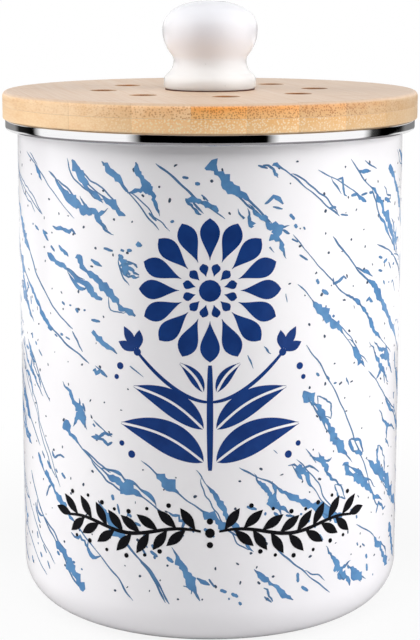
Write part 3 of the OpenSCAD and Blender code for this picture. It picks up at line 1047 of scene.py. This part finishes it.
def speckPatch():
    # the wall as a fine net that says where specks may lie
    rows, columns = 68, 200
    points, openness, faces = [], [], []
    for row in range(rows + 1):
        height = marbling["low"] + (marbling["high"] - marbling["low"]) * row / rows
        for column in range(columns):
            across = math.tau * canister["wallRadius"] * column / columns
            points.append(wallSpot(across, height))
            openness.append(1.0 if isClear(across, height, 1.2 * mm) else 0.0)
    for row in range(rows):
        for column in range(columns):
            after = (column + 1) % columns
            low, high = row * columns, (row + 1) * columns
            faces.append((low + column, low + after, high + after, high + column))
    mesh = bpy.data.meshes.new("speckPatch")
    mesh.from_pydata(points, [], faces)
    mesh.attributes.new("open", "FLOAT", "POINT").data.foreach_set("value", openness)
    return addObject("speckPatch", mesh)


marbledBlue = marbleFinish()
marblePieces = [
    runTree(wrapPrint, drawMarbling(), "marbling", {**onWall, "Paint": marbledBlue}),
    runTree(speckTree(), speckPatch(), "marbleSpecks", {
        "Gap": marbling["speckGap"], "Radius": marbling["speckRadius"],
        "Thickness": 2 * marbling["lift"], "Seed": 9, "Paint": marbledBlue}),
]
for piece in marblePieces:
    smooth(piece.data, 30)
    finishPiece(piece, marbledBlue, "canister", "white_enamel")
    print(piece.name, "faces:", len(piece.data.polygons))


# lid board and plug: bamboo strips

bamboo = {
    "grainTurn": 14, "stripWidth": 20.2 * mm, "stripFrom": -87.9 * mm,
    "bundle": 0.8 * mm, "bundleLength": 34 * mm, "nodeSpacing": 260 * mm,
    "nodeTone": tone(176, 128, 84), "nodeShare": 0.3, "jointTone": tone(150, 104, 66), "jointShare": 0.22,
    # the top tone and its share are a painted sheen on the faces that look up
    "roughness": 0.36, "topSheenTone": tone(199, 175, 158), "topSheenShare": 0.62,
    "topEdge": 2 * mm, "lowEdge": 0.6 * mm, "glueNick": 0.08 * mm, "segments": 256,
    "vents": 8, "ventRadius": 5.5 * mm, "ventCircle": 43.75 * mm, "ventTurn": 8.2, "ventRound": 0.5 * mm,
    "inBore": tone(116, 68, 34), "boreShadeShare": 0.7, "boreShadeReach": (62 * mm, 66 * mm),
    # the tone in the bores, its share and its reach are painted shade on the walls of the holes
    "screwHole": 2.8 * mm, "counterbore": 8 * mm, "seat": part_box("screw_washer")[1].z,
    "plugRound": 1.5 * mm, "grooveLow": 3.5 * mm, "grooveHeight": 3 * mm, "grooveDepth": 2.5 * mm,
}
plies = {
    "topPly": {
        "node": "lid_top_ply", "slot": "bamboo_top", "light": tone(237, 207, 170),
        "dark": tone(226, 186, 140), "endHigh": tone(246, 158, 64), "endLow": tone(240, 188, 124),
        "bundle": tone(172, 98, 44), "bundles": 0.65, "noiseShift": 0.0,
        "strips": ((0.2, 1.0), (0.1, 1.02), (0.05, 1.08), (0.95, 1.05), (0.64, 1.0),
                   (0.4, 0.92), (0.24, 0.86), (0.14, 0.85), (0.2, 0.85)),
    },
    "bottomPly": {
        "node": "lid_bottom_ply", "slot": "bamboo_bottom", "light": tone(238, 208, 168),
        "dark": tone(228, 188, 142), "endHigh": tone(236, 178, 108), "endLow": tone(240, 196, 140),
        "bundle": tone(246, 224, 192), "bundles": 0.8, "noiseShift": 0.31,
        "strips": ((0.38, 1.01), (0.34, 1.03), (0.38, 1.08), (0.66, 1.06), (0.68, 1.01),
                   (0.62, 0.95), (0.54, 0.89), (0.64, 0.86), (0.6, 0.86)),
    },
    "lidPlug": {
        "node": "lid_plug", "slot": "bamboo_plug", "light": tone(232, 202, 160),
        "dark": tone(216, 176, 128), "endHigh": tone(208, 156, 100), "endLow": tone(218, 172, 120),
        "bundle": tone(156, 104, 60), "bundles": 0.55, "noiseShift": 0.73,
        "strips": ((0.5, 1.0), (0.2, 0.97), (0.8, 1.02), (0.4, 0.98), (0.6, 1.0),
                   (0.1, 1.03), (0.7, 0.96), (0.3, 1.01), (0.5, 1.0)),
    },
}


def boardHoles(low, high, lowRound, highRound, middle):
    # the ring of vents and the screw's hole; a round of zero leaves the edge crisp
    radius = bamboo["ventRadius"]
    outline = [(radius, low), (radius, high)]
    lowSteps = ((lowRound, 0), (lowRound * 0.3, lowRound * 0.3), (0, lowRound))
    highSteps = ((0, highRound), (highRound * 0.3, highRound * 0.3), (highRound, 0))
    if lowRound:
        outline = [(radius + out, low + up) for out, up in lowSteps] + outline[1:]
    if highRound:
        outline = outline[:-1] + [(radius + out, high - down) for out, down in highSteps]
    holes = [(0, 0, middle, 40)]
    for k in range(bamboo["vents"]):
        angle = math.radians(bamboo["ventTurn"] + 360 / bamboo["vents"] * k)
        reach = bamboo["ventCircle"]
        holes.append((reach * math.cos(angle), reach * math.sin(angle), outline, 48))
    return holes


def bambooShape(name, ply):
    low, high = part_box(ply["node"])[0].z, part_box(ply["node"])[1].z
    radius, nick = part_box(ply["node"])[1].x, bamboo["glueNick"]
    straight = [(bamboo["screwHole"], low), (bamboo["screwHole"], high)]
    if name == "topPly":
        edge = bamboo["topEdge"]
        side = [(radius - nick, low), (radius, low + nick)]
        side += arc(radius - edge, high - edge, edge, 0, 90, 7)
        holes = boardHoles(low, high, 0, bamboo["ventRound"], straight)
    elif name == "bottomPly":
        edge = bamboo["lowEdge"]
        side = arc(radius - edge, low + edge, edge, -90, 0, 7)
        side += [(radius, high - nick), (radius - nick, high)]
        holes = boardHoles(low, high, 0, 0, straight)
    else:
        edge, groove = bamboo["plugRound"], high - bamboo["grooveLow"]
        inner = radius - bamboo["grooveDepth"]
        side = arc(radius - edge, low + edge, edge, -90, 0, 7)
        side += [(radius, groove - bamboo["grooveHeight"]), (inner, groove - bamboo["grooveHeight"]),
                 (inner, groove), (radius, groove), (radius, high)]
        bore, seat = bamboo["counterbore"], bamboo["seat"]
        middle = [(bore, low), (bore, seat), (bamboo["screwHole"], seat), (bamboo["screwHole"], high)]
        holes = boardHoles(low, high, bamboo["ventRound"], 0, middle)
    return drilledBoard(name, side, holes, bamboo["segments"])


def bambooFinish(name, ply):
    # strips glued side by side; fibres show as long lines along them and as dots on their ends
    wood = Finish(name + "Bamboo", gloss=0.45)
    turn = math.radians(bamboo["grainTurn"])
    low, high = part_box(ply["node"])[0].z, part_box(ply["node"])[1].z
    turnedPlace = wood.node("ShaderNodeMapping", None, {"Vector": wood.place, "Rotation": (0, 0, -turn)})
    across, along, up = wood.split(turnedPlace)
    stripPlace = (across - bamboo["stripFrom"]) / bamboo["stripWidth"]
    strip = stripPlace.calc("FLOOR")
    count = len(ply["strips"])
    stops = [(k / count, (share, level ** 2.2 / 2, 0, 1)) for k, (share, level) in enumerate(ply["strips"])]
    stripLook = wood.node("ShaderNodeValToRGB", {"stops": stops}, {"Fac": (strip + 0.5) / count})
    stripLook.socket.node.color_ramp.interpolation = "CONSTANT"
    stripTone, stripLevel, _ = wood.split(stripLook)
    shifted = along + ply["noiseShift"]
    lines = wood.cloud(wood.vector(across * 1500, shifted * 22, up * 1500), 1, 3, 0.6)
    broad = wood.cloud(wood.vector(across * 240, shifted * 9, up * 240), 1, 2)
    size = bamboo["bundle"]
    cells = wood.node("ShaderNodeTexVoronoi", None, {
        "Vector": wood.vector(across / size, shifted / bamboo["bundleLength"], up / size), "Scale": 1.0,
        "Randomness": 0.8})
    bundles = wood.between(cells, 0.25, 0.54, 1.0, 0.0)
    normal = wood.node("ShaderNodeTexCoord", out=1)
    facing = wood.node("ShaderNodeVectorMath", {"operation": "DOT_PRODUCT"}, {
        0: normal, 1: (math.sin(turn), -math.cos(turn), 0)}, out=1)
    facing = facing.calc("ABSOLUTE")
    endGrain = wood.between(facing, 0.6, 0.98)
    nodePlace = along / bamboo["nodeSpacing"] + stripTone * 7 + broad * 0.03
    nodeOff = (nodePlace - nodePlace.calc("FLOOR") - 0.5).calc("ABSOLUTE")
    nodeBand = wood.between(nodeOff, 0.0, 0.012, 1.0, 0.0) * wood.between(facing, 0.2, 0.5, 1.0, 0.0)
    joint = wood.between((stripPlace - strip - 0.5).calc("ABSOLUTE"), 0.493, 0.499)
    rise = wood.between(up, low, high)
    endTone = wood.mixed(rise + broad * 0.5 - 0.25, ply["endLow"], ply["endHigh"])
    colour = wood.mixed(wood.between(broad * 0.55 + lines * 0.45, 0.28, 0.72), ply["light"], ply["dark"])
    colour = wood.mixed(stripTone * 0.35, colour, ply["dark"])
    colour = wood.mixed(endGrain * (0.25 + stripTone * 0.75), colour, endTone)
    colour = wood.mixed(bundles * ply["bundles"] * (0.22 + endGrain * 0.78), colour, ply["bundle"])
    normalUp = wood.split(normal)[2]
    # painted sheen: faces that look up turn paler and greyer, and the strips' differences in level fade
    # there
    topSheenMask = wood.between(normalUp, 0.4, 0.75)
    level = 1 + (stripLevel * 2 - 1) * (1 - topSheenMask * 0.8)
    colour = wood.node("ShaderNodeVectorMath", {"operation": "SCALE"}, {0: colour, "Scale": level})
    # painted shade: upright faces inside the vent ring, which are the walls of the vents, the screw hole
    # and the counterbore, are darkened
    flatX, flatY, _ = wood.split(wood.place)
    middle = (flatX * flatX + flatY * flatY).calc("SQRT")
    boreShade = wood.between(middle, *bamboo["boreShadeReach"], 1.0, 0.0)
    boreShade = boreShade * wood.between(normalUp.calc("ABSOLUTE"), 0.3, 0.7, 1.0, 0.0)
    colour = wood.mixed(topSheenMask * bamboo["topSheenShare"], colour, bamboo["topSheenTone"])
    colour = wood.mixed(boreShade * bamboo["boreShadeShare"], colour, bamboo["inBore"])
    colour = wood.mixed(nodeBand * bamboo["nodeShare"], colour, bamboo["nodeTone"])
    colour = wood.mixed(joint * bamboo["jointShare"], colour, bamboo["jointTone"])
    height = lines * 0.5 - bundles * 0.3 - joint * 0.4
    rough = wood.between(lines, 0.3, 0.7, bamboo["roughness"] - 0.05, bamboo["roughness"] + 0.07)
    return wood.wear(colour=colour, roughness=rough, normal=wood.bump(height, 0.02 * mm, 0.4))


for name, ply in plies.items():
    finishPiece(bambooShape(name, ply), bambooFinish(name, ply), "lid", ply["slot"], ply["node"])
print("bamboo pieces finished")


# knob: glazed ceramic, turned from the same rules as the solid

knob = {
    "low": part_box("knob")[0].z, "height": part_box("knob")[1].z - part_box("knob")[0].z,
    "wide": 19.45 * mm, "wideHeight": 23.7 * mm, "foot": 19 * mm, "footEdge": 1.2 * mm,
    "neck": 14.95 * mm, "neckHeight": 11.5 * mm, "neckLow": 7 * mm, "neckHigh": 3.5 * mm,
    "shoulder": 3.5 * mm, "crown": 2.28, "bore": 4.55 * mm, "boreDepth": 14 * mm, "segments": 160,
    # the crown's tone and the heights where it begins and ends are painted shade: the glaze darkens from
    # the foot up to the crown
    "footTone": tone(247, 247, 249), "crownShadeTone": tone(225, 225, 230), "crownShadeFrom": 4 * mm,
    "crownShadeTo": 24 * mm, "pitTone": tone(170, 165, 160), "glowDepth": 16 * mm,
}


def knobOutline():
    low, neckX, neckZ = knob["low"], knob["neck"], knob["neckHeight"]
    shoulderX, neckLow, neckHigh = knob["foot"] - knob["shoulder"], knob["neckLow"], knob["neckHigh"]
    reach = neckX + neckLow - shoulderX
    fillet = neckLow + knob["shoulder"]
    shoulderZ = neckZ - math.sqrt(fillet ** 2 - reach ** 2)
    shoulderEnd = math.degrees(math.atan2(neckZ - shoulderZ, reach))
    rise, swell = knob["wideHeight"] - neckZ, knob["wide"] - neckX
    bulb = (swell ** 2 + rise ** 2) / (2 * swell) - neckHigh
    neckEnd = math.degrees(math.atan2(rise, bulb + neckHigh - swell))
    outline = [(0, knob["boreDepth"]), (knob["bore"], knob["boreDepth"]), (knob["bore"], 0)]
    outline += arc(knob["foot"] - knob["footEdge"], knob["footEdge"], knob["footEdge"], -90, 0, 5)
    outline += arc(shoulderX, shoulderZ, knob["shoulder"], 0, shoulderEnd, 8)
    outline += arc(neckX + neckLow, neckZ, neckLow, 180 + shoulderEnd, 180, 12)[1:]
    outline += arc(neckX + neckHigh, neckZ, neckHigh, 180, 180 - neckEnd, 8)[1:]
    outline += arc(knob["wide"] - bulb, knob["wideHeight"], bulb, -neckEnd, 0, 14)[1:]
    crownHeight = knob["height"] - knob["wideHeight"]
    for k in range(1, 24):
        angle = math.pi / 2 * k / 24
        outline.append((knob["wide"] * math.cos(angle) ** (2 / knob["crown"]),
                        knob["wideHeight"] + crownHeight * math.sin(angle) ** (2 / knob["crown"])))
    outline.append((0, knob["height"]))
    return [(x, z + low) for x, z in outline]


def glazeFinish():
    # thick white glaze over ceramic with a few pinholes; it turns darker from the foot up to the crown as
    # painted shade
    glaze = Finish("whiteGlaze", gloss=0.4, coat=0.3, coatRoughness=0.05, glow=1.0,
                   glowDepth=knob["glowDepth"], glowRadius=(1, 1, 1))
    wave = glaze.cloud(glaze.place, 70, 2)
    pits = glaze.node("ShaderNodeTexVoronoi", None, {"Vector": glaze.place, "Scale": 210.0})
    pit = glaze.between(pits, 0.03, 0.07, 1.0, 0.0)
    # painted shade: the tone goes from the foot's white to the darker crown as the height rises
    up = glaze.split(glaze.place)[2] + wave * mm
    rise = glaze.between(up, knob["low"] + knob["crownShadeFrom"], knob["low"] + knob["crownShadeTo"])
    colour = glaze.mixed(rise, knob["footTone"], knob["crownShadeTone"])
    colour = glaze.mixed(pit * 0.25, colour, knob["pitTone"])
    rough = glaze.between(wave, 0.3, 0.7, 0.1, 0.18)
    return glaze.wear(colour=colour, roughness=rough, normal=glaze.bump(wave - pit * 0.2, 0.05 * mm, 0.4))


def rubberFinish():
    rubber = Finish("brownRubber", gloss=0.3)
    mottled = rubber.cloud(rubber.place, 500, 2)
    colour = rubber.mixed(mottled, tone(92, 48, 36), tone(64, 32, 26))
    return rubber.dress(colour, mottled, (0.6, 0.75), 0.02 * mm, 0.4)


def brassFinish():
    brass = Finish("turnedBrass", metallic=1.0)
    x, y, z = brass.split(brass.place)
    lines = brass.cloud(brass.vector(x * 0.5, y * 0.5, z * 3500), 1, 2)
    colour = brass.mixed(lines, tone(222, 186, 110), tone(190, 150, 82))
    return brass.dress(colour, lines, (0.2, 0.34), 0.01 * mm, 0.4)


def zincFinish():
    zinc = Finish("zincSteel", metallic=1.0)
    cells = zinc.node("ShaderNodeTexVoronoi", None, {"Vector": zinc.place, "Scale": 700.0}, out=1)
    dull = zinc.cloud(zinc.place, 300, 3)
    colour = zinc.mixed(dull, tone(196, 200, 206), tone(168, 172, 180))
    colour = zinc.mixed(0.12, colour, cells)
    return zinc.dress(colour, dull, (0.24, 0.42), 0.01 * mm, 0.4)


def plasticFinish():
    # moulded white plastic with a fine spark-eroded grain
    plastic = Finish("whitePlastic", gloss=0.45)
    grain = plastic.cloud(plastic.place, 2600, 2)
    flow = plastic.cloud(plastic.place, 22, 2)
    colour = plastic.mixed(plastic.between(flow, 0.3, 0.7), tone(236, 236, 232), tone(228, 229, 226))
    return plastic.dress(colour, grain, (0.42, 0.55), 0.012 * mm, 0.5)


def siliconeFinish():
    silicone = Finish("clearSilicone", gloss=0.4)
    cloudy = silicone.cloud(silicone.place, 80, 2)
    dust = silicone.cloud(silicone.place, 1800, 1)
    colour = silicone.mixed(cloudy, tone(226, 228, 226), tone(206, 210, 210))
    return silicone.dress(colour, dust, (0.34, 0.5), 0.01 * mm, 0.4)


ceramicKnob = turned("ceramicKnob", knobOutline(), knob["segments"], ring=False)
finishPiece(ceramicKnob, glazeFinish(), "lid", "white_glaze", "knob")
print("knob finished")


# gasket, fasteners, seal, housing and cover: smooth copies of the solids

zincSteel, whitePlastic = zincFinish(), plasticFinish()
copies = (  # solid, name here, finish, body, slot
    ("knob_gasket", "knobGasket", rubberFinish(), "lid", "brown_rubber"),
    ("knob_insert", "knobInsert", brassFinish(), "lid", "brass"),
    ("knob_screw", "knobScrew", zincSteel, "lid", "zinc_steel"),
    ("screw_washer", "screwWasher", zincSteel, "lid", "zinc_steel"),
    ("housing_screws", "housingScrews", zincSteel, "lid", "zinc_steel"),
    ("lid_seal", "lidSeal", siliconeFinish(), "lid", "silicone"),
    ("filter_housing", "filterHousing", whitePlastic, "lid", "white_plastic"),
    ("filter_cover", "filterCover", whitePlastic, "cover", "white_plastic"),
)
for node, name, paint, body, slotName in copies:
    finishPiece(smoothCopy(node, name), paint, body, slotName, node)
print("copies of the solids finished")


# charcoal felt disc, pressed and stiff

felt = {
    "radius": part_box("charcoal_filter")[1].x, "low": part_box("charcoal_filter")[0].z,
    "high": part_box("charcoal_filter")[1].z, "edge": 1.6 * mm, "dent": 0.25 * mm, "segments": 192,
}


def feltOutline():
    radius, low, high, edge = felt["radius"], felt["low"], felt["high"], felt["edge"]
    outline = [(radius * k / 30, low) for k in range(29)]
    outline += arc(radius - edge, low + edge, edge, -90, 0, 5)
    outline += arc(radius - edge, high - edge, edge, 0, 90, 5)
    outline += [(radius * k / 30, high) for k in range(28, -1, -1)]
    return outline


def feltFinish():
    fibre = Finish("charcoalFelt", gloss=0.15, sheen=0.35, sheenRoughness=0.6)
    hairs = fibre.cloud(fibre.place, 1400, 4, 0.7)
    tufts = fibre.cloud(fibre.place, 260, 3)
    grains = fibre.node("ShaderNodeTexVoronoi", None, {"Vector": fibre.place, "Scale": 620.0})
    colour = fibre.mixed(hairs, tone(34, 35, 38), tone(78, 79, 82))
    colour = fibre.mixed(fibre.between(grains, 0.1, 0.3, 0.5, 0.0), colour, tone(18, 18, 20))
    return fibre.wear(colour=colour, roughness=fibre.between(tufts, 0.3, 0.7, 0.85, 0.97),
                      normal=fibre.bump(hairs + tufts, 0.25 * mm, 0.7))


charcoalDisc = turned("charcoalDisc", feltOutline(), felt["segments"], ring=False)
feltMiddle = (felt["low"] + felt["high"]) / 2
for vertex in charcoalDisc.data.vertices:  # pressed felt is never quite flat: it only gives inwards
    dent = felt["dent"] * (0.5 + 0.5 * noise.noise(vertex.co * 90))
    vertex.co.z -= math.copysign(dent, vertex.co.z - feltMiddle)
finishPiece(charcoalDisc, feltFinish(), "cover", "charcoal_felt", "charcoal_filter")
print("felt finished")


# camera, floor and light

view = {"place": (0, -0.753, 0.262), "pitch": 10.89, "lens": 102.375, "sensor": 36}
cameraData = bpy.data.cameras.new("photoCamera")
cameraData.lens = view["lens"]
cameraData.sensor_width = view["sensor"]
cameraData.sensor_fit = "AUTO"
camera = bpy.data.objects.new("photoCamera", cameraData)
camera.location = view["place"]
camera.rotation_euler = (math.radians(90 - view["pitch"]), 0, 0)
bpy.context.scene.collection.objects.link(camera)
bpy.context.scene.camera = camera

studio = {
    "floorRadius": 0.55, "floorLow": -0.05 * mm, "floorFade": (0.12, 0.3), "shadowShare": 0.12,
    "floorTone": tone(222, 222, 222), "floorInSteel": tone(138, 136, 138), "ambient": 0.06,
    "lamps": (  # name, place, aim, width, height, watts
        ("overheadSoftbox", (0.0, -0.52, 0.99), (0, -0.04, 0.15), 1.0, 0.85, 7.7),
        ("leftSoftbox", (-1.0, 0.02, 0.36), (0, 0, 0.12), 0.6, 0.9, 10.5),
        ("rightSoftbox", (1.0, -0.21, 0.36), (0, 0, 0.12), 0.6, 0.9, 10.8),
    ),
    # what shiny pieces see round them: compass degrees from the front, brightness
    "surround": (
        (-180, 0.3), (-139, 0.3), (-132, 0.02), (-114, 0.0), (-107, 1.12), (-46, 1.12), (-38, 0.0),
        (31, 0.0), (38, 1.14), (93, 1.14), (100, 0.06), (108, 0.0), (131, 0.0), (139, 0.24), (180, 0.26),
    ),
    "back": (118, 0.06, 0.92),  # compass degrees, half the dark horizon's height, brightness behind
    "horizon": -0.045, "overhead": (0.45, 0.62),  # as the upward part of a ray's direction
}


def floorFinish():
    ground = Finish("paleFloor", roughness=0.8)
    x, y, _ = ground.split(ground.place)
    distance = (x * x + y * y).calc("SQRT")
    fade = ground.between(distance, *studio["floorFade"], 1 - studio["shadowShare"], 1.0)
    rays = ground.node("ShaderNodeLightPath")
    seen = rays.socket.node.outputs
    direct = Wire(ground.tree, seen["Is Camera Ray"])
    clear = Wire(ground.tree, seen["Is Transmission Ray"])
    shiny = Wire(ground.tree, seen["Is Glossy Ray"])
    ground.wear(colour=ground.mixed(shiny, studio["floorTone"], studio["floorInSteel"]))
    white = ground.node("ShaderNodeEmission", None, {"Color": (1, 1, 1, 1), "Strength": 1.0})
    share = (direct + clear).calc("MINIMUM", 1.0) * fade
    plain = Wire(ground.tree, ground.shader.outputs[0])
    both = ground.node("ShaderNodeMixShader", None, {0: share, 1: plain, 2: white})
    ground.tree.links.new(both.socket, ground.tree.nodes["Material Output"].inputs["Surface"])
    return ground.material


floorOutline = [(0, 0), (studio["floorRadius"], 0)]
floorDisc = turned("paleFloor", floorOutline, 96, ring=False)
floorDisc.data.materials.append(floorFinish())
for vertex in floorDisc.data.vertices:
    vertex.co.z = studio["floorLow"]


def lightStudio():
    for name, place, aim, width, height, watts in studio["lamps"]:
        lamp = bpy.data.lights.new(name, "AREA")
        lamp.shape = "RECTANGLE"
        lamp.size = width
        lamp.size_y = height
        lamp.energy = watts
        holder = bpy.data.objects.new(name, lamp)
        holder.location = place
        holder.rotation_euler = (Vector(aim) - Vector(place)).to_track_quat("-Z", "Y").to_euler()
        holder.visible_glossy = False
        holder.visible_camera = False
        bpy.context.scene.collection.objects.link(holder)


def lightWorld():
    world = bpy.data.worlds.new("studioRoom")
    bpy.context.scene.world = world
    world.use_nodes = True
    room = Bench(world.node_tree)
    x, y, z = room.split(room.node("ShaderNodeTexCoord", out=0))
    compass = x.calc("ARCTAN2", 0 - y) / math.tau + 0.5
    stops = [(degrees / 360 + 0.5, (level, level, level, 1)) for degrees, level in studio["surround"]]
    around = room.node("ShaderNodeValToRGB", {"stops": stops}, {"Fac": compass})
    degrees, horizon, glow = studio["back"]
    behind = room.between((compass - 0.5).calc("ABSOLUTE"), degrees / 360, degrees / 360 + 0.03)
    behind = behind * room.between((z - studio["horizon"]).calc("ABSOLUTE"), horizon, horizon + 0.04)
    overhead = room.between(z, *studio["overhead"])
    shinySees = room.mixed(behind.calc("MAXIMUM", overhead), around, (glow, glow, glow, 1))
    rays = room.node("ShaderNodeLightPath").socket.node.outputs
    shiny = Wire(room.tree, rays["Is Glossy Ray"])
    direct = Wire(room.tree, rays["Is Camera Ray"])
    level = studio["ambient"]
    colour = room.mixed(shiny, (level, level, level, 1), shinySees)
    colour = room.mixed(direct, colour, (1, 1, 1, 1))
    background = world.node_tree.nodes["Background"]
    world.node_tree.links.new(colour.socket, background.inputs["Color"])


lightStudio()
lightWorld()
bpy.context.scene.view_settings.view_transform = "Standard"
print("studio lit")
